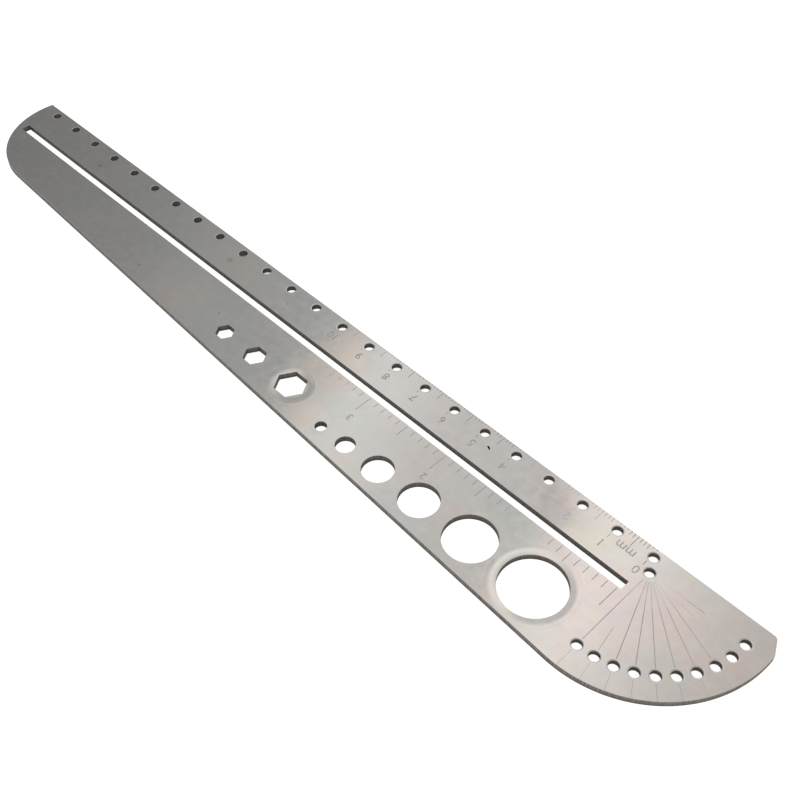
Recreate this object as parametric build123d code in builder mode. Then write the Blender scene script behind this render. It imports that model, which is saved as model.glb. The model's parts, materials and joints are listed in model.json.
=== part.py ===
from build123d import *

import math
import os

# A multifunction ruler: one flat plate of stainless sheet, cut through with a row of marking
# holes, a long slot, a fan of angle holes, round and hexagonal gauge openings, and engraved
# on its upper face with a millimetre scale, an inch scale and the lines of the fan.
#
# Millimetres. The origin is the axis of the zero hole of the scale, at the plate's underside.
# +X runs along the scale to the far end, +Y from the straight edge towards the slot, +Z up.

# Plate
plate_thickness = 1.8
edge_to_scale_holes = 2.3
edge_break = 0.12

# Marking holes, one at each centimetre of the scale
scale_hole_diameter = 2.5
scale_hole_pitch = 10.0
scale_hole_count = 24

# Slot for the inch scale
slot_width = 2.6
slot_above_scale_holes = 8.8
slot_start = 0.1
slot_past_last_hole = 2.3

# Fan of angle holes about a pivot hole, with a line to each hole
fan_pivot = (-1.75, 3.75)
fan_hole_diameter = 2.5
fan_hole_radius = 24.65
fan_hole_count = 10
fan_step = 10.0
fan_first_angle = 90.0
fan_line_start = 2.4

# Round ends of the outline: the wide one round the fan, the narrow one past the last hole
metal_round_fan = 7.45
fan_end_from_pivot = (1.65, -0.75)
far_end_radius = 22.8
far_end_past_last_hole = 6.6
far_end_centre_above_holes = 1.7
corner_cut_along_edge = 1.6
corner_cut_up_end = 4.1
corner_cut_softening = 1.2

# Round gauge holes: diameter, and the metal left before each. Their row climbs a little
round_gauges = ((16.0, 0.0), (13.0, 3.4), (10.0, 3.9), (8.0, 4.0), (5.0, 4.2), (3.0, 4.3))
round_gauge_row_start = (5.9, 23.9)
round_gauge_row_rise = 2.0

# Hexagonal gauge openings: width across flats, and the metal left before each
hex_gauges = ((7.5, 9.5), (5.5, 6.3), (4.5, 6.1))
hex_gauge_row_above_holes = 22.6

# Shallow dishes ground round the largest opening of each row
dish_width = 1.9
dish_depth = 0.12

# Engraved scales, laid on slightly out of square with the cut outline
marking_depth = 0.1
marking_line_width = 0.22
marking_tilt = -0.65
marking_gap_at_holes = 0.15
marking_overrun = 0.5

millimetre_zero = 0.6
millimetre_tick_lengths = {"one": 1.5, "five": 3.6, "ten": 5.5}

inch = 25.4
inch_parts = 10
inch_zero = 0.75
inch_tick_lengths = {"tenth": 2.8, "half": 4.8, "whole": 6.5}

scale_length = scale_hole_pitch * (scale_hole_count - 1)
slot_upper_edge = slot_above_scale_holes + slot_width
slot_middle = slot_above_scale_holes + slot_width / 2
slot_end = scale_length + slot_past_last_hole
fan_end_radius = fan_hole_radius + metal_round_fan
fan_end_centre = (fan_pivot[0] + fan_end_from_pivot[0], fan_pivot[1] + fan_end_from_pivot[1])
far_end_centre = (
    scale_length + far_end_past_last_hole - far_end_radius,
    far_end_centre_above_holes,
)

top_face = Plane.XY.offset(plate_thickness)


def centres_in_row(widths, metal_before):
    """Distance along a row of each opening's centre, from the widths and the metal between."""
    centres = []
    reach = 0.0
    for width, metal in zip(widths, metal_before):
        centres.append(reach + metal + width / 2)
        reach += metal + width
    return centres


def across_corners(across_flats):
    return across_flats / math.cos(math.radians(30))


def stroke_plane(origin, heading):
    """Plane standing on the upper face, facing the way that its strokes run."""
    run = Vector(1, 0, 0).rotate(Axis.Z, heading)
    return Plane(origin=(*origin, plate_thickness), x_dir=run.rotate(Axis.Z, -90), z_dir=run)


def strokes(plane, places, start, end):
    """V-shaped strokes of the engraving, one at each place, running from start to end."""
    half_width = marking_line_width / 2
    with BuildSketch(plane.offset(start)) as sections:
        with Locations(*[(place, 0) for place in places]):
            Polygon((-half_width, 0), (half_width, 0), (0, marking_depth), align=None)
    extrude(sections.sketch, amount=end - start)


def kind_of_millimetre(number):
    if number % 10 == 0:
        return "ten"
    return "five" if number % 5 == 0 else "one"


def kind_of_inch_part(number):
    if number % inch_parts == 0:
        return "whole"
    return "half" if number % (inch_parts / 2) == 0 else "tenth"


# Rows of gauge openings: the hexagons follow the round holes
round_diameters = [diameter for diameter, metal in round_gauges]
round_gauge_row = Plane(
    origin=(*round_gauge_row_start, plate_thickness),
    x_dir=Vector(1, 0, 0).rotate(Axis.Z, round_gauge_row_rise),
)
round_centres = centres_in_row(round_diameters, [metal for diameter, metal in round_gauges])
round_gauge_row_end = round_gauge_row.from_local_coords(
    Vector(round_centres[-1] + round_diameters[-1] / 2, 0, 0)
)
hex_widths = [across_corners(across_flats) for across_flats, metal in hex_gauges]
hex_gauge_row = Plane(origin=(round_gauge_row_end.X, hex_gauge_row_above_holes, plate_thickness))
hex_centres = centres_in_row(hex_widths, [metal for across_flats, metal in hex_gauges])

# Outline: the two round ends joined by the long taper, trimmed by the straight edge
with BuildSketch() as outline:
    with Locations(fan_end_centre):
        Circle(fan_end_radius)
    with Locations(far_end_centre):
        Circle(far_end_radius)
    make_hull()
    split(bisect_by=Plane.XZ.offset(edge_to_scale_holes), keep=Keep.BOTTOM)
    fan_corner = outline.vertices().group_by(Axis.Y)[0].sort_by(Axis.X)[0]
    straight_edge = outline.edges().filter_by(Axis.X)[0]
    chamfer(fan_corner, corner_cut_along_edge, corner_cut_up_end, reference=straight_edge)
    cut_corners = outline.vertices().sort_by(Axis.X)[0:2]
    fillet(cut_corners, corner_cut_softening)

# Engraving, as the solid that the graver takes away
with BuildPart() as engraving:
    # Inch scale, standing on the slot's upper edge
    scale_plane = stroke_plane((0, 0), 90 + marking_tilt)
    inch_marks = range(int(scale_length / inch) * inch_parts + 1)
    for kind, length in inch_tick_lengths.items():
        numbers = [n for n in inch_marks if kind_of_inch_part(n) == kind]
        places = [inch_zero + n * inch / inch_parts for n in numbers]
        strokes(scale_plane, places, slot_middle, slot_upper_edge + length)
    split(bisect_by=Plane.XZ.offset(-slot_middle), keep=Keep.BOTTOM)

    # Millimetre scale, standing on the straight edge
    millimetre = scale_hole_pitch / 10
    millimetre_marks = range(10 * (scale_hole_count - 1) + 1)
    for kind, length in millimetre_tick_lengths.items():
        numbers = [n for n in millimetre_marks if kind_of_millimetre(n) == kind]
        places = [millimetre_zero + n * millimetre for n in numbers]
        foot = -edge_to_scale_holes - marking_overrun
        strokes(scale_plane, places, foot, -edge_to_scale_holes + length)

    # Lines of the fan, from near the pivot out over the edge
    for n in range(fan_hole_count):
        line_plane = stroke_plane(fan_pivot, fan_first_angle + n * fan_step)
        strokes(line_plane, [0], fan_line_start, fan_end_radius)

    # Every stroke is broken at the holes
    with Locations((0, 0, plate_thickness)):
        clear_width = scale_hole_diameter + 2 * marking_gap_at_holes
        with GridLocations(
            scale_hole_pitch, 0, scale_hole_count, 1, align=(Align.MIN, Align.CENTER)
        ):
            Box(clear_width, clear_width, 2 * marking_depth, mode=Mode.SUBTRACT)
        clear_width = fan_hole_diameter + 2 * marking_gap_at_holes
        with Locations(fan_pivot):
            with PolarLocations(
                fan_hole_radius,
                fan_hole_count,
                fan_first_angle,
                fan_step * (fan_hole_count - 1),
                endpoint=True,
            ):
                Box(clear_width, clear_width, 2 * marking_depth, mode=Mode.SUBTRACT)

with BuildPart() as ruler_plate:
    add(outline.sketch)
    extrude(amount=plate_thickness)
    rims = ruler_plate.faces().filter_by(Axis.Z).edges()
    chamfer(rims, edge_break)

    # Marking holes, from the zero hole to the far end
    with BuildSketch(top_face) as scale_holes:
        with GridLocations(
            scale_hole_pitch, 0, scale_hole_count, 1, align=(Align.MIN, Align.CENTER)
        ):
            Circle(scale_hole_diameter / 2)
    extrude(amount=-plate_thickness, mode=Mode.SUBTRACT)

    # Pivot hole and the angle holes around it
    with BuildSketch(top_face) as fan_holes:
        with Locations(fan_pivot):
            Circle(fan_hole_diameter / 2)
            with PolarLocations(
                fan_hole_radius,
                fan_hole_count,
                fan_first_angle,
                fan_step * (fan_hole_count - 1),
                endpoint=True,
            ):
                Circle(fan_hole_diameter / 2)
    extrude(amount=-plate_thickness, mode=Mode.SUBTRACT)

    # Long slot
    with BuildSketch(top_face) as slot:
        with Locations((slot_start, slot_middle)):
            Rectangle(slot_end - slot_start, slot_width, align=(Align.MIN, Align.CENTER))
    extrude(amount=-plate_thickness, mode=Mode.SUBTRACT)

    # Dishes, ground before the openings are cut through them
    for row, centre, width in (
        (round_gauge_row, round_centres[0], round_diameters[0]),
        (hex_gauge_row, hex_centres[0], hex_widths[0]),
    ):
        with Locations(row * Location((centre, 0, 0))):
            Cone(
                width / 2,
                width / 2 + dish_width,
                dish_depth,
                align=(Align.CENTER, Align.CENTER, Align.MAX),
                mode=Mode.SUBTRACT,
            )

    # Round gauge holes
    with BuildSketch(round_gauge_row) as round_openings:
        for diameter, centre in zip(round_diameters, round_centres):
            with Locations((centre, 0)):
                Circle(diameter / 2)
    extrude(amount=-plate_thickness, mode=Mode.SUBTRACT)

    # Hexagonal gauge openings, corners along the scale
    with BuildSketch(hex_gauge_row) as hex_openings:
        for width, centre in zip(hex_widths, hex_centres):
            with Locations((centre, 0)):
                RegularPolygon(width / 2, 6)
    extrude(amount=-plate_thickness, mode=Mode.SUBTRACT)

    add(engraving.part, mode=Mode.SUBTRACT)

os.makedirs("parts", exist_ok=True)
ruler_plate.part.label = "ruler_plate"
export_step(ruler_plate.part, "parts/ruler_plate.step")
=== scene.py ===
# %% [markdown]
# # A multifunction ruler of satin stainless sheet
#
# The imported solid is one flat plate, and it gives the real sizes. This file dresses it: it makes the
# plate again as a fine mesh with eased edges, engraves its scales and numerals as real grooves, and
# gives the steel its satin finish and its stains. The camera comes first, because every later choice
# is judged through it.

import json
import math

import bmesh
import bpy
from mathutils import Matrix, Quaternion, Vector
from mathutils.geometry import delaunay_2d_cdt


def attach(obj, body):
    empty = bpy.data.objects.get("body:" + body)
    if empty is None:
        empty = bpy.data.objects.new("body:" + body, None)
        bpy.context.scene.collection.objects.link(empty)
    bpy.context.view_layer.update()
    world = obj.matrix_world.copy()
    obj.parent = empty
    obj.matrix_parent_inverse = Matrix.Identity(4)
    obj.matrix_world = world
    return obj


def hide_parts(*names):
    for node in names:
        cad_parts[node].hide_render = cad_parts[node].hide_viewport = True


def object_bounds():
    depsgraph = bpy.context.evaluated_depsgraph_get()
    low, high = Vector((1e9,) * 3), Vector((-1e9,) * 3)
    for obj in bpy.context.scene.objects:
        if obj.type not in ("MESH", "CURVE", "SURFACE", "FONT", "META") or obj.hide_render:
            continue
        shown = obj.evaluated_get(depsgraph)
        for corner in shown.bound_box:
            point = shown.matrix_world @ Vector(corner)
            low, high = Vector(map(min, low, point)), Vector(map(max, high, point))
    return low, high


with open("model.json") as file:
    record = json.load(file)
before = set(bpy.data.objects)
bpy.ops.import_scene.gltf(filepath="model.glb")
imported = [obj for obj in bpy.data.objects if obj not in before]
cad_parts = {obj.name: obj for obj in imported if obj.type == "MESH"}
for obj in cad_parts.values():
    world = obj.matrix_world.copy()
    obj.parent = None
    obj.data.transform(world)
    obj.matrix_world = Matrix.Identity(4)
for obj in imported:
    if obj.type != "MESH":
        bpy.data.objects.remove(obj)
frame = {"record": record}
cad_low, cad_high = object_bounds()
mounts = {mount["name"]: mount for mount in frame["record"]["mounts"]}
print("plate box in metres", tuple(cad_low), tuple(cad_high))

# %% [markdown]
# ## The camera
#
# The photograph was taken from above the tapered side, a little past the wide end. Place, aim and
# focal length were worked out from the 24 marking holes, which are ten millimetres apart.

# %% Camera
MM = 0.001
camera_place = Vector((-62.54, 139.13, 217.06)) * MM
camera_aim = Vector((71.65, 7.13, 1.80)) * MM
camera_roll = math.radians(-0.28)
focal_length = 52.65
sensor_width = 36.0


def add_object(name, data):
    """A new object standing in the scene."""
    made = bpy.data.objects.new(name, data)
    bpy.context.scene.collection.objects.link(made)
    return made


camera_data = bpy.data.cameras.new("camera")
camera_data.lens = focal_length
camera_data.sensor_width = sensor_width
camera_data.clip_start = 0.01
camera_data.clip_end = 20.0
camera = add_object("camera", camera_data)
bpy.context.scene.camera = camera
aim = (camera_aim - camera_place).to_track_quat("-Z", "Y")
camera.rotation_mode = "QUATERNION"
camera.rotation_quaternion = aim @ Quaternion((0, 0, 1), camera_roll)
camera.location = camera_place
print("camera", round((camera_aim - camera_place).length, 3), "m from its aim")

# %% [markdown]
# ## The sizes of the plate
#
# The mesh is made in millimetres and shrunk to metres once, at the end, because small numbers are
# easier to read. The round gauges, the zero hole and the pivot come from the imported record's mounts.
# The other sizes repeat those that the solid was made from, but the eased edges are the scene's own.

# %% Sizes in millimetres
thickness = (cad_high.z - cad_low.z) / MM
straight_edge_y = cad_low.y / MM

# Outline: the wide round end, the narrow one, and the slanted corner
fan_end_centre = Vector((-0.1, 3.0))
fan_end_radius = cad_high.y / MM - fan_end_centre.y
far_end_radius = 22.8
far_end_centre = Vector((cad_high.x / MM - far_end_radius, 1.7))
corner_cut_along_edge = 1.6
corner_cut_up_end = 4.1
corner_cut_softening = 1.2

# Marking holes, and the slot beside them
scale_hole_pitch = 10.0
scale_hole_count = 24
slot_low = Vector((0.1, 8.8))
slot_high = Vector((232.3, 11.4))

# Fan of angle holes about the pivot
fan_hole_radius = 24.65
fan_hole_count = 10
fan_first_angle = 90.0
fan_step = 10.0

# Hexagonal gauges: width across flats, and place along the scale
hexagons = ((7.5, 94.48), (5.5, 108.29), (4.5, 120.16))
hexagon_row = 22.6

# Edges: the easing, then width and depth of a pen hole's roll at the top and break-out at the back
outline_ease = 0.07
opening_ease = 0.05
used_roll = (0.30, 0.12)
new_roll = (0.15, 0.06)
break_out = (0.25, 0.50)
used_up_to, unused_from = 100.0, 140.0


def mount_place(name):
    """A mount's place on the plate, and its radius, in millimetres."""
    mount = mounts[name]
    return Vector(mount["pos_m"][:2]) / MM, mount["dims"]["r_mm"]


zero_hole, marking_hole_radius = mount_place("zero_hole")
pivot = mount_place("pivot_hole")[0]
round_gauges = [mount_place(name) for name in mounts if name.startswith("gauge_")]
print(len(round_gauges), "round gauges from", round_gauges[0][1], "to", round_gauges[-1][1], "mm radius")

# %% [markdown]
# ## The outline
#
# The blank is two discs of different size joined by one long tangent, and trimmed by a straight edge.
# A loop of points follows it. The corner at the wide end is cut off at a slant, and both ends of that
# cut are softened with small arcs.

# %% Outline loop
far_end_steps = 96
fan_end_steps = 128
corner_steps = 6
degrees_before_cut = 2


def on_circle(centre, radius, degrees):
    angle = math.radians(degrees)
    return centre + radius * Vector((math.cos(angle), math.sin(angle)))


def arc(centre, radius, start, stop, steps):
    """Points along a round stretch, both ends included; angles in degrees."""
    return [on_circle(centre, radius, start + (stop - start) * n / steps) for n in range(steps + 1)]


def softened(before, corner, after, radius):
    """The small arc that replaces a corner between two straight stretches."""
    back = (before - corner).normalized()
    onward = (after - corner).normalized()
    half_turn = back.angle(onward) / 2
    reach = radius / math.tan(half_turn)
    middle = corner + (back + onward).normalized() * radius / math.sin(half_turn)
    start = corner + back * reach - middle
    stop = corner + onward * reach - middle
    turn = start.angle_signed(stop)
    turns = [-turn * n / corner_steps for n in range(corner_steps + 1)]
    return [middle + Matrix.Rotation(turned, 2) @ start for turned in turns]


between = far_end_centre - fan_end_centre
taper_lean = math.asin((fan_end_radius - far_end_radius) / between.length)
tangent_angle = math.degrees(math.atan2(between.y, between.x) + math.pi / 2 - taper_lean)
far_corner_angle = math.degrees(math.asin((straight_edge_y - far_end_centre.y) / far_end_radius))
fan_corner_angle = 180 - math.degrees(math.asin((straight_edge_y - fan_end_centre.y) / fan_end_radius))
cut_angle = fan_corner_angle - math.degrees(corner_cut_up_end / fan_end_radius)
cut_top = on_circle(fan_end_centre, fan_end_radius, cut_angle)
cut_foot = on_circle(fan_end_centre, fan_end_radius, fan_corner_angle)
cut_foot.x += corner_cut_along_edge
round_end_angle = cut_angle - degrees_before_cut
before_cut = on_circle(fan_end_centre, fan_end_radius, round_end_angle)

outline = arc(far_end_centre, far_end_radius, far_corner_angle, tangent_angle, far_end_steps)
outline += arc(fan_end_centre, fan_end_radius, tangent_angle, round_end_angle, fan_end_steps)
outline += softened(before_cut, cut_top, cut_foot, corner_cut_softening)
outline += softened(cut_top, cut_foot, outline[0], corner_cut_softening)
print(len(outline), "points in the outline; taper leans", round(math.degrees(taper_lean), 2), "degrees")

# %% [markdown]
# ## Openings as loops
#
# Every hole is a closed loop too, run the other way round, so that the metal is always on its left.
# One helper can then ease any edge by moving its loop sideways into the metal.

# %% Opening loops
marking_hole_points = 48
gauge_points = 144
hexagon_sides = 6
hexagon_turn = 360 / hexagon_sides


def hole(centre, radius, points):
    return [on_circle(centre, radius, -360 * n / points) for n in range(points)]


def hexagon_reach(across_flats, degrees):
    """Distance from a hexagon's middle to its side in one direction, corners along the scale."""
    from_flat = math.radians((degrees % hexagon_turn) - hexagon_turn / 2)
    return across_flats / 2 / math.cos(from_flat)


def hexagon_hole(centre, across_flats, points):
    angles = [-360 * n / points for n in range(points)]
    return [on_circle(centre, hexagon_reach(across_flats, angle), angle) for angle in angles]


marking_holes = [zero_hole + Vector((scale_hole_pitch * n, 0)) for n in range(scale_hole_count)]
angle_holes = [
    on_circle(pivot, fan_hole_radius, fan_first_angle + fan_step * n) for n in range(fan_hole_count)
]
slot_loop = [slot_low, Vector((slot_low.x, slot_high.y)), slot_high, Vector((slot_high.x, slot_low.y))]
pen_hole_places = marking_holes + [pivot] + angle_holes
pen_holes = [hole(place, marking_hole_radius, marking_hole_points) for place in pen_hole_places]
plain_openings = [slot_loop]
for place, radius in round_gauges[1:]:
    plain_openings.append(hole(place, radius, gauge_points))
for across_flats, along in hexagons[1:]:
    plain_openings.append(hexagon_hole(Vector((along, hexagon_row)), across_flats, hexagon_sides))
print(len(pen_holes), "pen holes,", len(plain_openings), "plain openings and 2 with a dish round them")

# %% [markdown]
# ## Walls with eased edges
#
# A sheared and ground sheet has no razor edges. Each loop becomes a stack of rings: in over the top
# edge in a quarter round, down the wall, and in under the bottom edge. A bevel modifier is less safe
# on cuts this close together. The small holes are punched, so the face rolls over into them, most
# where pens have widened them, and at the back the metal broke away a little wider.

# %% Rings
edge_steps = 4


def moved_into_metal(loop, distance):
    """The loop shifted to its left, with mitred corners."""
    moved = []
    for n, point in enumerate(loop):
        along_in = (point - loop[n - 1]).normalized()
        along_out = (loop[(n + 1) % len(loop)] - point).normalized()
        left_in = Vector((-along_in.y, along_in.x))
        left_out = Vector((-along_out.y, along_out.x))
        moved.append(point + (left_in + left_out) * distance / (1 + left_in.dot(left_out)))
    return moved


def quarter_round(loop, width, depth):
    """Loops over one eased edge, from the face to the wall, each with its distance from the face."""
    turns = [math.pi / 2 * n / edge_steps for n in range(edge_steps + 1)]
    loops = [moved_into_metal(loop, width * (1 - math.sin(turn))) for turn in turns]
    return [(ring, depth * (1 - math.cos(turn))) for ring, turn in zip(loops, turns)]


def eased_wall(loop, ease, top, roll=None, back=None):
    """Rings from the top face down to the bottom face; roll and back widen the two ends of a hole."""
    upper = quarter_round(loop, *(roll or (ease, ease)))
    lower = quarter_round(loop, *(back or (ease, ease)))
    rings = [[Vector((p.x, p.y, z - sunk)) for p, z in zip(ring, top)] for ring, sunk in upper]
    return rings + [[Vector((p.x, p.y, raised)) for p in ring] for ring, raised in lower[::-1]]


def roll_by_use(place):
    """Width and depth of a pen hole's roll: wide up to the middle of the ruler, slight beyond."""
    unused = min(max((place.x - used_up_to) / (unused_from - used_up_to), 0), 1)
    return [used + (new - used) * unused for used, new in zip(used_roll, new_roll)]


print(edge_steps, "steps over each eased edge")

# %% [markdown]
# ## Dished openings
#
# Two openings have a shallow dish ground round them. There the rings go on outwards over the dish,
# which is deepest at the rim and fades into the flat face, so the light rolls over it. The hexagon's
# dish is smaller, shallower and a little off centre. The outline's wall comes first in the list,
# because the flat faces are filled inwards from it.

# %% All the walls
dish_steps = 10
round_dish = {"width": 2.05, "depth": 0.10, "softness": 2.0}
hexagon_dish = {"width": 1.9, "depth": 0.045, "softness": 1.5}
hexagon_dish_off_centre = Vector((-0.7, 0.1))
hexagon_dish_rim = 4.05


def dished_wall(loop, centre, rim_radius, width, depth, softness):
    """An eased wall with rings over the dish before it; the dish's outer ring is round."""

    def height(reach):
        share = min(max((reach - rim_radius) / width, 0), 1)
        return thickness - depth * (1 - share) ** softness

    rings = []
    inner = moved_into_metal(loop, opening_ease)
    for n in range(dish_steps, 0, -1):
        ring = []
        for point in inner:
            outward = (point - centre).normalized()
            reach = (point - centre).length
            reach += (rim_radius + width - reach) * n / dish_steps
            place = centre + outward * reach
            ring.append(Vector((place.x, place.y, height(reach))))
        rings.append(ring)
    top = [height((point - centre).length) for point in inner]
    return rings + eased_wall(loop, opening_ease, top)


largest_gauge, largest_radius = round_gauges[0]
largest_across_flats, largest_along = hexagons[0]
largest_hexagon = Vector((largest_along, hexagon_row))
hexagon_dish_centre = largest_hexagon + hexagon_dish_off_centre
round_loop = hole(largest_gauge, largest_radius, gauge_points)
hexagon_loop = hexagon_hole(largest_hexagon, largest_across_flats, gauge_points)

flat_top = [thickness] * max(len(outline), gauge_points)
walls = [eased_wall(outline, outline_ease, flat_top)]
walls += [
    eased_wall(loop, opening_ease, flat_top, roll_by_use(place), break_out)
    for loop, place in zip(pen_holes, pen_hole_places)
]
walls += [eased_wall(loop, opening_ease, flat_top) for loop in plain_openings]
walls += [
    dished_wall(round_loop, largest_gauge, largest_radius, **round_dish),
    dished_wall(hexagon_loop, hexagon_dish_centre, hexagon_dish_rim, **hexagon_dish),
]
print(len(walls), "walls, with dishes", round_dish["depth"], "and", hexagon_dish["depth"], "mm deep")

# %% [markdown]
# ## One closed mesh
#
# The rings are joined by quads, and the flat faces are filled by a constrained Delaunay triangulation,
# which respects every loop and leaves the holes open. A boolean only knows inside from outside on a
# closed mesh, so this one has to be closed. The walls of the openings get a darker material.

# %% Plate mesh
face_finish, cut_finish = 0, 1
inside_constraints = 1
weld_distance = 1e-6
plate = bmesh.new()


def add_wall(rings, straight_finish):
    """Quads between the rings; returns the first and last ring of vertices."""
    rows = [[plate.verts.new(point) for point in ring] for ring in rings]
    straight = len(rows) - edge_steps - 2
    for number, (upper, lower) in enumerate(zip(rows, rows[1:])):
        for n in range(len(upper)):
            m = (n + 1) % len(upper)
            face = plate.faces.new((upper[n], lower[n], lower[m], upper[m]))
            face.material_index = straight_finish if number == straight else face_finish
    return rows[0], rows[-1]


def fill_between(rows, facing_up):
    """A flat face inside the first row of vertices, with the openings of the others left out."""
    vertices = []
    edges = []
    row_of = []
    for number, row in enumerate(rows):
        start = len(vertices)
        edges += [(start + n, start + (n + 1) % len(row)) for n in range(len(row))]
        vertices += row
        row_of += [number] * len(row)
    flat = [vertex.co.xy for vertex in vertices]
    triangles = delaunay_2d_cdt(flat, edges, [], inside_constraints, weld_distance)[2]
    made = 0
    for triangle in triangles:
        touched = {row_of[n] for n in triangle}
        if len(touched) == 1 and touched != {0}:
            continue
        corners = [vertices[n] for n in triangle]
        plate.faces.new(corners if facing_up else corners[::-1])
        made += 1
    return made


ends = [add_wall(walls[0], face_finish)]
ends += [add_wall(rings, cut_finish) for rings in walls[1:]]
top_faces = fill_between([top for top, bottom in ends], True)
bottom_faces = fill_between([bottom for top, bottom in ends], False)
bmesh.ops.recalc_face_normals(plate, faces=plate.faces)
plate_mesh = bpy.data.meshes.new("plate_blank")
plate.to_mesh(plate_mesh)
open_edges = sum(not edge.is_manifold for edge in plate.edges)
plate.free()
plate_blank = add_object("plate_blank", plate_mesh)
print(top_faces, "top faces,", bottom_faces, "bottom faces,", open_edges, "open edges")

# %% [markdown]
# ## The engraving, as the metal that is taken away
#
# The strokes of both scales and of the fan are V grooves. A bump map could draw them, but a wedge of
# real metal taken out catches the light as the real groove does. The wedges are gathered in one mesh,
# the graver. They stand proud of the face to cut cleanly, and worn ones are narrower and shallower.

# %% Graver
stroke_width = 0.18
stroke_depth = 0.04
narrowest_share = 0.4
proud_share = 0.5
scale_finish, numeral_finish, fan_finish, nick_finish = 0, 1, 2, 3

graver = bmesh.new()


def add_stroke(start, stop, strength, finish):
    """One V groove from start to stop, as a closed wedge that stands a little proud of the face."""
    along = (stop - start).normalized()
    half_width = stroke_width / 2 * (narrowest_share + (1 - narrowest_share) * strength)
    depth = stroke_depth * strength ** 2
    spread = Vector((-along.y, along.x)) * half_width * (1 + proud_share)
    high, low = thickness + depth * proud_share, thickness - depth
    ends = []
    for place in (start, stop):
        corners = ((place + spread, high), (place - spread, high), (place, low))
        ends.append([graver.verts.new((p.x, p.y, z)) for p, z in corners])
    first, last = ends
    sides = [graver.faces.new(first), graver.faces.new(last[::-1])]
    for n in range(3):
        m = (n + 1) % 3
        sides.append(graver.faces.new((first[m], first[n], last[n], last[m])))
    for side in sides:
        side.material_index = finish


print("full strokes are", stroke_width, "mm wide and", stroke_depth, "mm deep")

# %% [markdown]
# ## How the scales have worn
#
# Both scales are laid on a little out of square, so the millimetres run off the straight edge towards
# the far end. Their ticks are crisp near the wide end, rubbed near their start, and worn away past the
# middle, so each tick's strength follows its place. A tick that meets a marking hole stops short.

# %% Scale helpers
scale_tilt = math.radians(-0.65)
gap_at_holes = 0.5
worn_from, worn_to = 75.0, 135.0
least_strength = 0.15
rubbed_steepness = 4


def worn(along_scale, rubbed_place):
    """How much of a stroke is left at this distance along the scale, from 1 down."""
    share = min(max((along_scale - worn_from) / (worn_to - worn_from), 0), 1)
    middle, reach, loss = rubbed_place
    rubbed = loss * max(1 - ((along_scale - middle) / reach) ** rubbed_steepness, 0)
    return (1 - (1 - least_strength) * share) * (1 - rubbed)


def tick_length(number, lengths):
    """The length of a numbered tick: whole, half or part."""
    return lengths[max(step for step in lengths if number % step == 0)]


def scale_ticks(zero, spacing, count, lengths, foot, base):
    """Ticks of a scale as pairs of points, from the foot up to base plus their length."""
    turn = Matrix.Rotation(scale_tilt, 2)
    for number in range(count + 1):
        along = zero + number * spacing
        yield turn @ Vector((along, foot)), turn @ Vector((along, base + tick_length(number, lengths)))


def clear_of_marking_holes(start, stop):
    """A tick in one or two pieces, broken where it meets a marking hole."""
    nearest = min(marking_holes, key=lambda place: abs(place.x - start.x))
    clear = marking_hole_radius + gap_at_holes
    if abs(nearest.x - stop.x) > clear or stop.y < -clear:
        return [(start, stop)]
    pieces = []
    along = (stop - start) / (stop.y - start.y)
    if start.y < nearest.y - clear:
        pieces.append((start, start + along * (nearest.y - clear - start.y)))
    if stop.y > nearest.y + clear:
        pieces.append((start + along * (nearest.y + clear - start.y), stop))
    return pieces


print("ticks fade from", worn_from, "to", worn_to, "mm along the scale")

# %% [markdown]
# ## The two scales
#
# The millimetres stand on the straight edge and the inches on the slot. Both count in tens, with the
# longest ticks at the wholes. A rubbed stretch is given by its middle, its reach and the share lost.

# %% Scales
parts = 10
stroke_overrun = 0.5
millimetre_zero = 0.6
millimetre_lengths = {1: 1.5, 5: 3.6, 10: 5.5}
rubbed_millimetres = (26.0, 18.0, 0.5)

inch = 25.4
inch_zero = 0.75
inch_count = 9
inch_lengths = {1: 2.8, 5: 4.8, 10: 6.5}
rubbed_inches = (25.0, 5.5, 0.75)
worn_foot_of_inch_ticks = 0.45

strokes = 0
for start, stop in scale_ticks(
    millimetre_zero,
    scale_hole_pitch / parts,
    parts * (scale_hole_count - 1),
    millimetre_lengths,
    straight_edge_y - stroke_overrun,
    straight_edge_y,
):
    if stop.y < straight_edge_y + outline_ease:
        continue
    for piece in clear_of_marking_holes(start, stop):
        add_stroke(*piece, worn(start.x, rubbed_millimetres), scale_finish)
        strokes += 1
for start, stop in scale_ticks(
    inch_zero, inch / parts, parts * inch_count, inch_lengths, slot_high.y, slot_high.y
):
    start.y = slot_high.y + worn_foot_of_inch_ticks
    add_stroke(start, stop, worn(start.x, rubbed_inches), scale_finish)
    strokes += 1
print(strokes, "ticks in the two scales")

# %% [markdown]
# ## The fan
#
# Ten lines run from near the pivot to the ten angle holes, and on towards the edge. Rubbing has
# taken most of the outer lines. Of the inner ones the second is left only near its hole, and the last
# two only near the pivot. Two short deep strokes side by side make a nick before the fifth centimetre.

# %% Fan lines
fan_line_start = 2.4
short_of_edge = 0.6
fan_line_end = fan_end_radius - short_of_edge
inside_end = fan_hole_radius - marking_hole_radius - gap_at_holes
outside_start = fan_hole_radius + marking_hole_radius + gap_at_holes

# Strength of each line before its hole and behind it
fan_strengths = (
    (0.9, 0.4), (0.7, 0.3), (0.9, 0.5), (0.9, 0.7), (0.9, 0.75),
    (0.9, 0.7), (0.9, 0.6), (0.9, 0.3), (0.5, 0.15), (0.9, 0.15),
)
whole_stretch = (fan_line_start, inside_end)
stretches_left = {1: (16.5, inside_end), 8: (4.0, 13.0), 9: (4.0, 14.5)}
nicks = (((45.7, 3.15), (46.8, 2.65)), ((45.8, 2.95), (46.7, 2.5)))
nick_strength = 2.0

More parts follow.
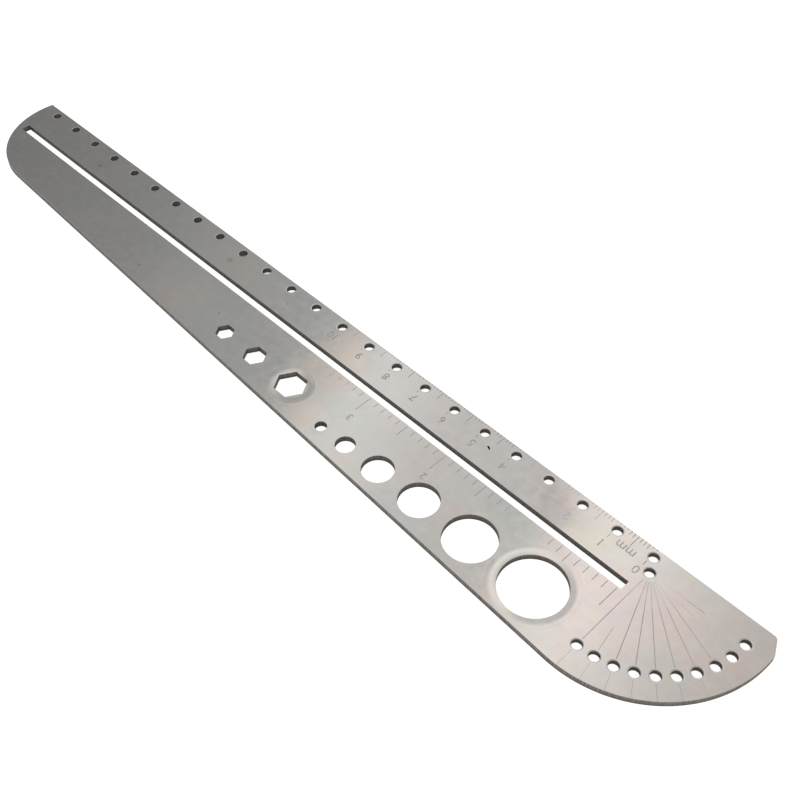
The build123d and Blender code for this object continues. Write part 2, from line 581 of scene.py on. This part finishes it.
for number, (inside, outside) in enumerate(fan_strengths):
    angle = fan_first_angle + fan_step * number
    stretch = stretches_left.get(number, whole_stretch)
    ends = [on_circle(pivot, radius, angle) for radius in stretch]
    add_stroke(*ends, inside, fan_finish)
    ends = [on_circle(pivot, radius, angle) for radius in (outside_start, fan_line_end)]
    add_stroke(*ends, outside, fan_finish)
for ends in nicks:
    add_stroke(*[Vector(end) for end in ends], nick_strength, nick_finish)
print(2 * len(fan_strengths), "fan strokes and one nick")

# %% [markdown]
# ## The numerals
#
# Each centimetre has its number beside its hole up to ten, and three of the inches still have one; the
# rest are worn off. They are plain numerals of Blender's own font, turned into thin closed blocks and
# pressed a little way into the face.

# %% Numeral helper
numeral_depth = 0.03
numeral_above = 0.02
numeral_boldness = 0.02
numeral_curve_steps = 4
capital_share = 0.73


def mesh_as_shown(holder):
    """The mesh that a text, or an object with a modifier, comes to."""
    bpy.context.view_layer.update()
    evaluated = holder.evaluated_get(bpy.context.evaluated_depsgraph_get())
    return bpy.data.meshes.new_from_object(evaluated)


def add_text(words, middle, height):
    """Engraves words centred on a place, upright on the tilted scale."""
    text = bpy.data.curves.new("numeral", "FONT")
    text.body = words
    text.align_x = "CENTER"
    text.align_y = "CENTER"
    text.size = height / capital_share
    text.extrude = (numeral_depth + numeral_above) / 2
    text.offset = numeral_boldness
    text.resolution_u = numeral_curve_steps
    holder = add_object("numeral", text)
    mesh = mesh_as_shown(holder)
    lift = thickness + (numeral_above - numeral_depth) / 2
    turned = Matrix.Rotation(scale_tilt, 4, "Z")
    mesh.transform(Matrix.Translation((middle.x, middle.y, lift)) @ turned)
    made_before = len(graver.faces)
    graver.from_mesh(mesh)
    graver.faces.ensure_lookup_table()
    for face in graver.faces[made_before:]:
        face.material_index = numeral_finish
    bpy.data.objects.remove(holder)
    bpy.data.meshes.remove(mesh)


print("numerals are cut", numeral_depth, "mm deep")

# %% [markdown]
# ## The rows of numerals
#
# Each row is a start and a step, because its numerals stand a little closer than the ticks and climb
# a little.

# %% Numerals
numeral_height = 2.3
inch_numeral_height = 2.0
unit_mark_height = 2.5
centimetre_numbers_start = Vector((0.95, 5.15))
centimetre_numbers_step = Vector((9.84, -0.136))
centimetre_numbers_last = 10
inch_numbers_start = Vector((1.1, 20.1))
inch_numbers_step = Vector((25.1, -0.2))
inch_numbers_left = (2, 3, 4)
unit_mark_place = Vector((5.85, 2.65))

for number in range(centimetre_numbers_last + 1):
    middle = centimetre_numbers_start + centimetre_numbers_step * number
    add_text(str(number), middle, numeral_height)
for number in inch_numbers_left:
    middle = inch_numbers_start + inch_numbers_step * number
    add_text(str(number), middle, inch_numeral_height)
add_text("mm", unit_mark_place, unit_mark_height)
print(centimetre_numbers_last + 1, "centimetre and", len(inch_numbers_left), "inch numerals")

# %% [markdown]
# ## The graver as one mesh
#
# Doubled points are merged and all faces turned outwards, because an open or inside-out graver would
# take away the wrong side of the plate.

# %% Graver mesh
seam_gap = 1e-4

bmesh.ops.remove_doubles(graver, verts=graver.verts, dist=seam_gap)
bmesh.ops.recalc_face_normals(graver, faces=graver.faces)
graver_mesh = bpy.data.meshes.new("graver")
graver.to_mesh(graver_mesh)
open_edges = sum(not edge.is_manifold for edge in graver.edges)
print(len(graver.faces), "faces in the graver,", open_edges, "open edges")
graver.free()
graver_object = add_object("graver", graver_mesh)

# %% [markdown]
# ## Building materials from nodes
#
# Every finish below is procedural: it is computed from the place on the plate, in millimetres, and
# needs no picture. Small helpers keep the node code short. The first plugs in a plain value or another
# node's socket, whichever it is given, and each of the others names one thing that comes up often.

# %% Node helpers


def plug_in(tree, node, sockets):
    """Gives a node its inputs; sockets maps an input's name or number to a value or a socket."""
    for socket, value in sockets.items():
        if isinstance(value, bpy.types.NodeSocket):
            tree.links.new(value, node.inputs[socket])
        else:
            node.inputs[socket].default_value = value
    return node


def add_node(tree, kind, sockets=None, **settings):
    """Adds a shader node, with its settings and its inputs."""
    made = tree.nodes.new("ShaderNode" + kind)
    for name, value in settings.items():
        setattr(made, name, value)
    return plug_in(tree, made, sockets or {})


def calculate(tree, operation, first, second):
    """One sum on two values or sockets."""
    return add_node(tree, "Math", {0: first, 1: second}, operation=operation).outputs[0]


def multiply(tree, first, second):
    return calculate(tree, "MULTIPLY", first, second)


def ease_between(tree, value, start, stop, low=0.0, high=1.0):
    """Turns a value into low before start and high after stop, with a soft change between."""
    sockets = {"Value": value, 1: start, 2: stop, 3: low, 4: high}
    return add_node(tree, "MapRange", sockets, interpolation_type="SMOOTHSTEP").outputs[0]


def noise(tree, place, scale, detail=3.0):
    """Soft noise from 0 to 1; a larger scale makes smaller patches."""
    sockets = {"Vector": place, "Scale": scale, "Detail": detail}
    return add_node(tree, "TexNoise", sockets).outputs["Fac"]


def swing(tree, value, width):
    """Turns a noise into a swing about zero, as wide as given."""
    return multiply(tree, calculate(tree, "SUBTRACT", value, 0.5), width)


def part_of(tree, vector, axis):
    return add_node(tree, "SeparateXYZ", {0: vector}).outputs[axis]


def scaled(tree, vector, amount):
    sockets = {0: vector, "Scale": amount}
    return add_node(tree, "VectorMath", sockets, operation="SCALE").outputs[0]


def distance_to(tree, place, centre):
    sockets = {0: place, 1: centre}
    return add_node(tree, "VectorMath", sockets, operation="DISTANCE").outputs["Value"]


def blend_colours(tree, share, first, second, how="MIX"):
    """Mixes two colours by a share."""
    sockets = {"Factor": share, 6: first, 7: second}
    return add_node(tree, "Mix", sockets, data_type="RGBA", blend_type=how).outputs[2]


def tinted(tree, mask, colour, tint):
    """The colour multiplied by a tint where the mask is full."""
    fully_tinted = blend_colours(tree, 1.0, colour, (*tint, 1), "MULTIPLY")
    return blend_colours(tree, mask, colour, fully_tinted)


print("node helpers ready")

# %% [markdown]
# ## Node groups and steel materials
#
# An effect that several materials share is a node group, built once and placed in each material with
# its own values. Bare steel is a metal whose base colour is its reflection, so each material passes
# its shader a colour, a roughness and, where it has relief, a bump.

# %% Groups and materials


def open_group(name, inputs, outputs):
    """A new shader node group with its sockets; returns the tree and its two end nodes."""
    tree = bpy.data.node_groups.new(name, "ShaderNodeTree")
    for label, kind, value in inputs:
        socket = tree.interface.new_socket(label, in_out="INPUT", socket_type="NodeSocket" + kind)
        socket.default_value = value
    for label, kind in outputs:
        tree.interface.new_socket(label, in_out="OUTPUT", socket_type="NodeSocket" + kind)
    return tree, tree.nodes.new("NodeGroupInput"), tree.nodes.new("NodeGroupOutput")


def place_group(tree, group, sockets):
    """Places a group in a material with its own values."""
    made = tree.nodes.new("ShaderNodeGroup")
    made.node_tree = group
    return plug_in(tree, made, sockets)


def mask_on_face(tree, group, centre, radius, **others):
    """The mask of a stain or a ring about a place on the upper face."""
    sockets = {"Centre": (*centre, thickness), "Radius": radius, **others}
    return place_group(tree, group, sockets).outputs["Mask"]


def place_in_millimetres(tree):
    """The place on the plate, in millimetres, the same in every view."""
    return scaled(tree, add_node(tree, "TexCoord").outputs["Object"], 1 / MM)


def new_material(name):
    material = bpy.data.materials.new(name)
    material.use_nodes = True
    return material


def finish_steel(tree, colour, finish, relief=None):
    """Feeds the material's own shader; relief is the depth of the bump, in metres."""
    shader = tree.nodes["Principled BSDF"]
    tree.links.new(colour, shader.inputs["Base Color"])
    tree.links.new(finish.outputs["Roughness"], shader.inputs["Roughness"])
    shader.inputs["Metallic"].default_value = 1.0
    if relief:
        bump = add_node(tree, "Bump", {"Height": finish.outputs["Height"], "Distance": relief})
        tree.links.new(bump.outputs["Normal"], shader.inputs["Normal"])


print("group helpers ready")

# %% [markdown]
# ## One patch, for stains and painted shade
#
# Handling leaves soft clouds of oil and heat tint on bare steel. One such cloud is a round patch that
# fades outwards, with its edge pushed about by noise. Specks of dirt are the same at a smaller size, and
# so are two clouds of painted shade, so one group serves all. A patch lies on the upper face, and fades
# out down the walls.

# %% Stain group
patch_core = 0.25
no_patch_under, full_patch_over = 0.8, 1.4
ragged_scale = 0.22

# The mask of a stain, a speck, or a cloud of painted shade.
stain_and_shade_patch, stain_in, stain_out = open_group(
    "stain_and_shade_patch",
    [("Centre", "Vector", (0, 0, 0)), ("Radius", "Float", 5.0), ("Raggedness", "Float", 0.5)],
    [("Mask", "Float")],
)
place = place_in_millimetres(stain_and_shade_patch)
ragged = noise(stain_and_shade_patch, place, ragged_scale)
share = distance_to(stain_and_shade_patch, place, stain_in.outputs["Centre"])
share = calculate(stain_and_shade_patch, "DIVIDE", share, stain_in.outputs["Radius"])
share = calculate(stain_and_shade_patch, "ADD", share, swing(stain_and_shade_patch, ragged, stain_in.outputs["Raggedness"]))
mask = ease_between(stain_and_shade_patch, share, patch_core, 1.0, 1.0, 0.0)
up = part_of(stain_and_shade_patch, place, "Z")
on_face = ease_between(stain_and_shade_patch, up, no_patch_under, full_patch_over)
mask = multiply(stain_and_shade_patch, mask, on_face)
stain_and_shade_patch.links.new(mask, stain_out.inputs["Mask"])
print("stain group of", len(stain_and_shade_patch.nodes), "nodes")

# %% [markdown]
# ## A painted ring of light
#
# Round the two dished openings the steel is painted brighter along a thin, broken ring, where the dish
# meets the flat face: a painted highlight for the light that edge catches, on steel rubbed there too.
# The round gauge also has a darker ring of painted shade just inside its bright one. Painting it would
# need an unwrapped mesh; a distance from the middle of the opening needs nothing but the place.

# %% Ring group
broken_scale = 0.16
broken_from, broken_to = 0.4, 0.6
least_ring = 0.25

# The mask of a painted ring of highlight or of shade round a dished opening.
ring, ring_in, ring_out = open_group(
    "rubbed_ring_and_painted_light",
    [("Centre", "Vector", (0, 0, 0)), ("Radius", "Float", 8.0), ("Width", "Float", 0.5)],
    [("Mask", "Float")],
)
place = place_in_millimetres(ring)
broken = noise(ring, place, broken_scale, detail=2.0)
off_ring = distance_to(ring, place, ring_in.outputs["Centre"])
off_ring = calculate(ring, "SUBTRACT", off_ring, ring_in.outputs["Radius"])
off_ring = calculate(ring, "ABSOLUTE", off_ring, 0.0)
share = calculate(ring, "DIVIDE", off_ring, ring_in.outputs["Width"])
mask = ease_between(ring, share, 0.0, 1.0, 1.0, 0.0)
left = ease_between(ring, broken, broken_from, broken_to, least_ring, 1.0)
mask = multiply(ring, mask, left)
ring.links.new(mask, ring_out.inputs["Mask"])
print("ring group of", len(ring.nodes), "nodes")

# %% [markdown]
# ## The finish of the sheet
#
# The plate is satin stainless: rolled, then rubbed dull. Close up it has a faint grain along its
# length, small mottles, and wide soft clouds where the tone drifts from cool to warm. The engraving
# wears back to this same finish, so it is a group. Its patterns are soft noises, two of them stretched
# into the long grain of the faces and the fine upright marks of the walls.

# %% Patterns of the sheet
steel_finish = {
    "Cloud Contrast": 0.12, "Grain Contrast": 0.07, "Dullness": 0.14, "Wall Brightness": 1.45
}
cloud_scale = 0.07
drift_scale = 0.06
mottle_scale = 0.45
grain_stretch = (0.08, 2.2, 1.0)
upright_stretch = (5.0, 5.0, 0.3)

sheet, sheet_in, sheet_out = open_group(
    "sheet_finish",
    [(label, "Float", value) for label, value in steel_finish.items()],
    [("Colour", "Color"), ("Roughness", "Float"), ("Height", "Float")],
)
place = place_in_millimetres(sheet)
clouds = noise(sheet, place, cloud_scale)
drift = noise(sheet, place, drift_scale)
mottle = noise(sheet, place, mottle_scale, detail=4.0)
along_grain = add_node(sheet, "VectorMath", {0: place, 1: grain_stretch}, operation="MULTIPLY")
grain = noise(sheet, along_grain.outputs[0], 1.0)
upright = add_node(sheet, "VectorMath", {0: place, 1: upright_stretch}, operation="MULTIPLY")
saw_marks = noise(sheet, upright.outputs[0], 1.0, detail=2.0)
print("sheet patterns from", len(sheet.nodes), "nodes")

# %% [markdown]
# ## Colour of the faces and of the walls
#
# The cut walls are darker than the faces, streaked by the cutter, and darker still at the foot, where
# little light comes in. Which way the surface looks tells wall from face, so the eased edges blend.

# %% Colour of the sheet
cool_steel = (0.595, 0.607, 0.598, 1)
warm_steel = (0.630, 0.603, 0.588, 1)
wall_steel = (0.47, 0.455, 0.435)
drift_from, drift_to = 0.38, 0.62
mottle_contrast = 0.1
upright_is_wall, flat_is_face = 0.2, 0.75
saw_from, saw_to = 0.3, 0.7
saw_darkest, saw_brightest = 0.75, 1.25
foot_shade, foot_shade_to = 0.72, 1.3

facing = add_node(sheet, "TexCoord").outputs["Normal"]
facing_up = part_of(sheet, facing, "Z")
facing_up = calculate(sheet, "ABSOLUTE", facing_up, 0.0)
wall = ease_between(sheet, facing_up, upright_is_wall, flat_is_face, 1.0, 0.0)

tone = blend_colours(sheet, ease_between(sheet, drift, drift_from, drift_to), cool_steel, warm_steel)
shade = swing(sheet, clouds, sheet_in.outputs["Cloud Contrast"])
grain_swing = swing(sheet, grain, sheet_in.outputs["Grain Contrast"])
shade = calculate(sheet, "ADD", shade, grain_swing)
shade = calculate(sheet, "ADD", shade, swing(sheet, mottle, mottle_contrast))
shade = calculate(sheet, "ADD", shade, 1.0)
face_colour = scaled(sheet, tone, shade)

saw_shade = ease_between(sheet, saw_marks, saw_from, saw_to, saw_darkest, saw_brightest)
saw_shade = multiply(sheet, saw_shade, sheet_in.outputs["Wall Brightness"])
up = part_of(sheet, place, "Z")
from_foot = ease_between(sheet, up, 0.0, foot_shade_to, foot_shade, 1.0)
saw_shade = multiply(sheet, saw_shade, from_foot)
colour = blend_colours(sheet, wall, face_colour, scaled(sheet, wall_steel, saw_shade))
sheet.links.new(colour, sheet_out.inputs["Colour"])
print("walls are", foot_shade, "as bright at the foot as at the top")

# %% [markdown]
# ## Dullness and relief of the sheet
#
# The mottles are also a little duller or shinier, which shows where the steel mirrors a bright thing.
# The relief is grain and mottles on a face, and the cutter's marks on a wall.

# %% Dullness and relief
mottle_dullness = 0.12
wall_dullness = 0.5

dullness = sheet_in.outputs["Dullness"]
dullness = calculate(sheet, "ADD", dullness, swing(sheet, mottle, mottle_dullness))
dullness = add_node(sheet, "Mix", {0: wall, 2: dullness, 3: wall_dullness}).outputs[0]
sheet.links.new(dullness, sheet_out.inputs["Roughness"])
height = calculate(sheet, "ADD", multiply(sheet, grain, 0.5), multiply(sheet, mottle, 0.5))
height = add_node(sheet, "Mix", {0: wall, 2: height, 3: saw_marks}).outputs[0]
sheet.links.new(height, sheet_out.inputs["Height"])
print("sheet finish group of", len(sheet.nodes), "nodes")

# %% [markdown]
# ## Stains, films, specks and painted light
#
# The plate has cream and pink tints near the wide end and half way along, two grey clouds of painted
# shade just past the wide end, rings of painted light round the dished openings, a few specks, and a
# faint mottling of films over the wide end. Tints multiply the steel's colour, as thin oxide films do,
# so the metal under them keeps its reflections.

# %% Stains and specks
# Middle, radius and tint of each cloud
tints_and_painted_shade = (
    ((14.5, 5.5), 5.5, (1.03, 1.0, 0.95)),
    ((18.0, 6.4), 1.8, (1.05, 1.03, 0.97)),
    ((9.5, 5.5), 4.0, (1.02, 1.0, 0.96)),
    ((22.3, 2.2), 2.6, (1.04, 0.98, 0.99)),
    # The next two grey clouds are painted shade: they darken the face where it turns grey past the wide
    # end.
    ((27.0, 1.5), 4.5, (0.92, 0.935, 0.94)),
    ((23.3, 6.2), 6.5, (0.85, 0.865, 0.88)),
    ((20.5, 30.5), 6.0, (1.0, 0.965, 0.955)),
    ((-5.0, 11.0), 13.0, (1.02, 0.97, 1.0)),
    ((93.5, 6.5), 8.0, (1.11, 1.05, 0.99)),
    ((89.0, 15.5), 6.5, (1.02, 0.98, 0.95)),
    ((85.0, 27.0), 7.0, (1.08, 1.01, 0.97)),
    ((97.7, 15.4), 5.5, (1.13, 1.07, 1.01)),
    ((31.0, 13.5), 8.0, (0.95, 0.97, 0.97)),
    ((36.0, 30.0), 7.0, (0.95, 0.98, 0.97)),
    ((133.0, 6.0), 7.0, (1.03, 1.02, 0.98)),
    ((138.0, 21.0), 9.0, (1.05, 1.02, 0.98)),
)

# Middle and radius of each dark speck
specks = (
    ((156.5, 23.0), 0.75),
    ((116.5, 4.5), 0.55),
    ((126.5, 19.5), 0.6),
    ((140.5, 4.3), 1.3),
    ((200.0, 5.0), 1.0),
)

# Middle, radius, width and tint of each ring: painted highlights on rubbed steel, and one darker ring of
# painted shade
rings = (
    (largest_gauge, largest_radius + 3.0, 0.4, (1.05, 1.03, 1.02)),
    (largest_gauge, largest_radius + 2.5, 0.5, (0.95, 0.94, 0.93)),
    (hexagon_dish_centre, 5.95, 0.35, (1.14, 1.07, 1.04)),
    (hexagon_dish_centre, 5.15, 0.3, (1.08, 1.02, 1.0)),
)
print(len(tints_and_painted_shade), "clouds,", len(specks), "specks and", len(rings), "rings")

# %% [markdown]
# ## Satin steel
#
# The plate's own material is the sheet finish with the stains, the painted shade and the rings of
# painted light laid on one after another, each over the colour that the last one left. The films come
# last.

# %% Satin steel
cloud_raggedness = 1.1
speck_raggedness = 0.6
speck_strength = 0.6
dirt = (0.42, 0.39, 0.35, 1)
film_tints = ((0.30, (1.01, 1.0, 0.965)), (0.37, (0.995, 0.965, 0.985)))
film_from, film_full = 0.45, 0.62
films_full_to, films_gone_at = 15.0, 27.0
face_relief = 0.004 * MM

steel = new_material("satin_steel")
tree = steel.node_tree
finish = place_group(tree, sheet, steel_finish)
colour = finish.outputs["Colour"]
# Clouds of stain, two of them painted shade, multiply the colour first.
for centre, radius, tint in tints_and_painted_shade:
    cloud = mask_on_face(tree, stain_and_shade_patch, centre, radius, Raggedness=cloud_raggedness)
    colour = tinted(tree, cloud, colour, tint)
# Rings of painted highlight, and one of painted shade, round the dished openings.
for centre, radius, width, tint in rings:
    band = mask_on_face(tree, ring, centre, radius, Width=width)
    colour = tinted(tree, band, colour, tint)
for centre, radius in specks:
    speck = mask_on_face(tree, stain_and_shade_patch, centre, radius, Raggedness=speck_raggedness)
    colour = blend_colours(tree, multiply(tree, speck, speck_strength), colour, dirt)
place = place_in_millimetres(tree)
along = part_of(tree, place, "X")
near_end = ease_between(tree, along, films_full_to, films_gone_at, 1.0, 0.0)
for scale, tint in film_tints:
    film = ease_between(tree, noise(tree, place, scale, detail=2.0), film_from, film_full)
    colour = tinted(tree, multiply(tree, film, near_end), colour, tint)
finish_steel(tree, colour, finish, face_relief)
print("satin steel of", len(tree.nodes), "nodes")

# %% [markdown]
# ## Cut walls
#
# The walls of the openings are darker than the outline's wall. Their material
# is the sheet finish again, with its wall turned down.

# %% Cut walls
cut_finish_values = {**steel_finish, "Wall Brightness": 1.0}
wall_relief = 2 * face_relief

cut_wall = new_material("cut_wall")
finish = place_group(cut_wall.node_tree, sheet, cut_finish_values)
finish_steel(cut_wall.node_tree, finish.outputs["Colour"], finish, wall_relief)
print("cut walls of", len(cut_wall.node_tree.nodes), "nodes")

# %% [markdown]
# ## Engraved marking
#
# The grooves hold a little brown oxide and dirt, which makes them readable. It is patchy, thins out
# towards the far end, and is smudged away between the second and the fourth centimetre. Close to the
# pivot rubbing has left the lines brighter than the face. One recipe makes all these finishes.

# %% Engraved marking
oxide = (0.33, 0.29, 0.26, 1)
# The nick is coloured near black all through its groove.
nick_black = (0.08, 0.075, 0.07, 1)
polished = (0.82, 0.79, 0.77, 1)
pivot_rubbed_to = 6.0
oxide_full_from = 11.0
fan_starts_within = 1.0
smudged_middle, smudged_reach, smudged_share = (29.0, 5.0), 17.0, 0.6
oxide_thins_from, oxide_gone_at = 80.0, 145.0
patch_scale = 0.9
patch_from, patch_to = 0.3, 0.6
groove_dullness = 0.3


def engraved_finish(name, strength, least, groove_colour):
    """The sheet finish with oxide in it; least is the share that the patches leave everywhere."""
    made = new_material(name)
    tree = made.node_tree
    place = place_in_millimetres(tree)
    along = part_of(tree, place, "X")
    dull = ease_between(
        tree, along, oxide_thins_from, oxide_gone_at, groove_dullness, steel_finish["Dullness"]
    )
    finish = place_group(tree, sheet, {**steel_finish, "Dullness": dull})
    left = ease_between(tree, along, oxide_thins_from, oxide_gone_at, strength, 0.0)
    patchy = noise(tree, place, patch_scale, detail=2.0)
    patchy = ease_between(tree, patchy, patch_from, patch_to, least, 1.0)
    left = multiply(tree, left, patchy)
    smudged = mask_on_face(tree, stain_and_shade_patch, smudged_middle, smudged_reach)
    smudged = multiply(tree, smudged, smudged_share)
    left = multiply(tree, left, calculate(tree, "SUBTRACT", 1.0, smudged))
    from_pivot = distance_to(tree, place, (*pivot, thickness))
    rubbed = ease_between(tree, from_pivot, pivot_rubbed_to, oxide_full_from, 1.0, 0.0)
    on_fan = ease_between(tree, along, pivot.x, pivot.x + fan_starts_within, 1.0, 0.0)
    rubbed = multiply(tree, rubbed, on_fan)
    colour = blend_colours(tree, left, finish.outputs["Colour"], groove_colour)
    colour = blend_colours(tree, rubbed, colour, polished)
    finish_steel(tree, colour, finish)
    return made


# Strength, least share and groove colour of each finish, in the order of their numbers
engraved_finishes = {
    "engraved_scales": (0.6, 0.6, oxide),
    "engraved_numerals": (0.7, 0.55, oxide),
    "engraved_fan": (0.3, 0.7, oxide),
    "nick": (1.0, 1.0, nick_black),
}
for finished in (steel, cut_wall):
    plate_mesh.materials.append(finished)
for name, looks in engraved_finishes.items():
    graver_mesh.materials.append(engraved_finish(name, *looks))
print("oxide is gone", oxide_gone_at, "mm along the scale")

# %% [markdown]
# ## Cutting
#
# One boolean takes the whole engraving out of the plate, and hands the graver's own material to the
# faces that it cuts. The bold numerals overlap themselves, so the solver is told to sort that out too.
# It still leaves a doubled face or two where strokes cross, which the validation takes away.

# %% Cut the engraving
cut = plate_blank.modifiers.new("engrave", "BOOLEAN")
cut.operation = "DIFFERENCE"
cut.solver = "EXACT"
cut.use_self = True
cut.object = graver_object
cut.material_mode = "TRANSFER"
ruler_mesh = mesh_as_shown(plate_blank)
ruler_mesh.name = "engraved_ruler"
ruler_mesh.validate()
bpy.data.objects.remove(plate_blank)
bpy.data.objects.remove(graver_object)
print(len(ruler_mesh.polygons), "faces after the cut")

# %% [markdown]
# ## Shading the mesh
#
# Plain smooth shading would smear dark clouds over the flat faces, because their long triangles meet
# small ones at every hole. So the corner normals are set one by one: straight up or down on the two flat
# faces, and elsewhere the mean of the like-turned faces about the corner, the larger counting more.

# %% Corner normals
crease = math.radians(40)
flat_enough = 0.5
same_height = 1e-4

working = bmesh.new()
working.from_mesh(ruler_mesh)
areas = {face: face.calc_area() for face in working.faces}


def corner_normal(face, vertex):
    """Straight up or down on the flat faces, and a mean of the like-turned faces elsewhere."""
    if face.material_index == face_finish:
        if face.normal.z > flat_enough and vertex.co.z > thickness - same_height:
            return Vector((0, 0, 1))
        if face.normal.z < -flat_enough and vertex.co.z < same_height:
            return Vector((0, 0, -1))
    total = Vector()
    for other in vertex.link_faces:
        if other.material_index == face.material_index and other.normal.angle(face.normal, 0) < crease:
            total += other.normal * areas[other]
    return total.normalized() if total.length > 0 else face.normal


normals = [corner_normal(face, loop.vert) for face in working.faces for loop in face.loops]
working.free()
for polygon in ruler_mesh.polygons:
    polygon.use_smooth = True
ruler_mesh.transform(Matrix.Scale(MM, 4))
ruler_mesh.normals_split_custom_set(normals)
ruler = add_object("engraved_ruler", ruler_mesh)
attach(ruler, "root")
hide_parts("ruler_plate")
print(len(normals), "corner normals")

# %% [markdown]
# ## The floor
#
# The ruler lies on white. The floor glows to the camera, so that it is white right up to the metal,
# but what the metal reflects of it is dull grey, which keeps the walls of the holes dark. Light hardly
# gets through the unused holes of the far half, so beside them the paper itself is shaded.

# %% Floor
floor_half_width = 3.0
floor_drop = 0.02 * MM

corners = [(-1, -1), (1, -1), (1, 1), (-1, 1)]
floor_mesh = bpy.data.meshes.new("floor")
floor_mesh.from_pydata(
    [(x * floor_half_width, y * floor_half_width, -floor_drop) for x, y in corners], [], [(0, 1, 2, 3)]
)
floor = add_object("floor", floor_mesh)
print("floor of", 2 * floor_half_width, "m")

# %% [markdown]
# ## White paper
#
# The shade is worked out from the middle of the nearest marking hole: it lies on the side away from
# the light. The glow is given to camera rays alone, which Light Path tells apart from the others.

# %% Paper
floor_glow = 0.9
floor_grey = (0.45, 0.44, 0.43, 1)
shaded_from, shaded_fully = 122.0, 142.0
shaded_to = 232.0
shade_half_width = 1.6
shade_begins, shade_full = 0.45, 0.7
away_from_light = Vector((0.82, -0.57))

paper = new_material("white_paper")
tree = paper.node_tree
tree.nodes.clear()
seen = add_node(tree, "LightPath").outputs["Is Camera Ray"]
place = add_node(tree, "SeparateXYZ", {0: place_in_millimetres(tree)})
along, across = place.outputs["X"], place.outputs["Y"]
past_hole = calculate(tree, "ADD", along, scale_hole_pitch / 2)
past_hole = calculate(tree, "FLOORED_MODULO", past_hole, scale_hole_pitch)
past_hole = calculate(tree, "SUBTRACT", past_hole, scale_hole_pitch / 2)
past_hole = multiply(tree, past_hole, away_from_light.x)
away = calculate(tree, "ADD", past_hole, multiply(tree, across, away_from_light.y))
shaded = ease_between(tree, away, shade_begins, shade_full)
shaded = multiply(tree, shaded, ease_between(tree, along, shaded_from, shaded_fully))
shaded = multiply(tree, shaded, calculate(tree, "LESS_THAN", along, shaded_to))
in_row = calculate(tree, "LESS_THAN", calculate(tree, "ABSOLUTE", across, 0.0), shade_half_width)
shaded = multiply(tree, shaded, in_row)
lit = multiply(tree, calculate(tree, "SUBTRACT", 1.0, shaded), floor_glow)
glow = add_node(tree, "Emission", {"Strength": multiply(tree, seen, lit)})
dull = add_node(tree, "BsdfDiffuse", {"Color": floor_grey})
both = add_node(tree, "AddShader", {0: glow.outputs[0], 1: dull.outputs[0]})
add_node(tree, "OutputMaterial", {"Surface": both.outputs[0]})
floor_mesh.materials.append(paper)
print("paper shaded from", shaded_from, "to", shaded_to, "mm along the scale")

# %% [markdown]
# ## The light
#
# Satin steel is only as good as what it reflects. The plate mirrors a strip of the room from above its
# far side down towards its far end, so the room is painted along that strip: soft warm panels where
# the wide end and the middle are bright, and grey where the far end is dim. Low down it is white,
# which gives the near rims of the holes their bright crescents. Behind the camera it is dim.

# %% Room
warm, mild, cool = (1.06, 1.0, 0.955), (1.03, 1.0, 0.97), (1.0, 1.0, 0.985)

# Place along the strip, from the side to the far end, with its brightness and its tone
room_strip = (
    (0.00, 0.55, warm),
    (0.14, 0.72, warm),
    (0.20, 0.92, warm),
    (0.255, 1.26, warm),
    (0.295, 1.22, warm),
    (0.33, 0.66, mild),
    (0.39, 0.82, mild),
    (0.42, 0.72, mild),
    (0.465, 1.00, mild),
    (0.505, 1.14, mild),
    (0.54, 0.48, cool),
    (0.63, 0.47, cool),
    (0.68, 0.34, cool),
    (0.77, 0.27, cool),
)
behind_from, behind_to = -0.28, 0.0
low_full_to, low_gone_at = 0.22, 0.50
horizon_level = 1.0
dark_side = (0.60, 0.59, 0.58, 1)

world = bpy.data.worlds.new("room")
bpy.context.scene.world = world
world.use_nodes = True
tree = world.node_tree
direction = add_node(tree, "TexCoord").outputs["Generated"]
across = add_node(tree, "SeparateXYZ", {0: direction})
strip = add_node(tree, "ValToRGB", {"Fac": across.outputs["X"]})
while len(strip.color_ramp.elements) > 1:
    strip.color_ramp.elements.remove(strip.color_ramp.elements[-1])
strip.color_ramp.interpolation = "EASE"
for number, (place, level, tone) in enumerate(room_strip):
    elements = strip.color_ramp.elements
    stop = elements[0] if number == 0 else elements.new(place)
    stop.position = place
    stop.color = (*[level * part for part in tone], 1)
behind_camera = ease_between(tree, across.outputs["Y"], behind_from, behind_to)
low_down = ease_between(tree, across.outputs["Z"], low_full_to, low_gone_at, 1.0, 0.0)
white = (horizon_level, horizon_level, horizon_level, 1)
lit_side = blend_colours(tree, low_down, strip.outputs["Color"], white)
room = blend_colours(tree, behind_camera, lit_side, dark_side)
tree.links.new(room, tree.nodes["Background"].inputs["Color"])
bpy.context.scene.view_settings.view_transform = "Standard"
print("room with", len(room_strip), "stops")
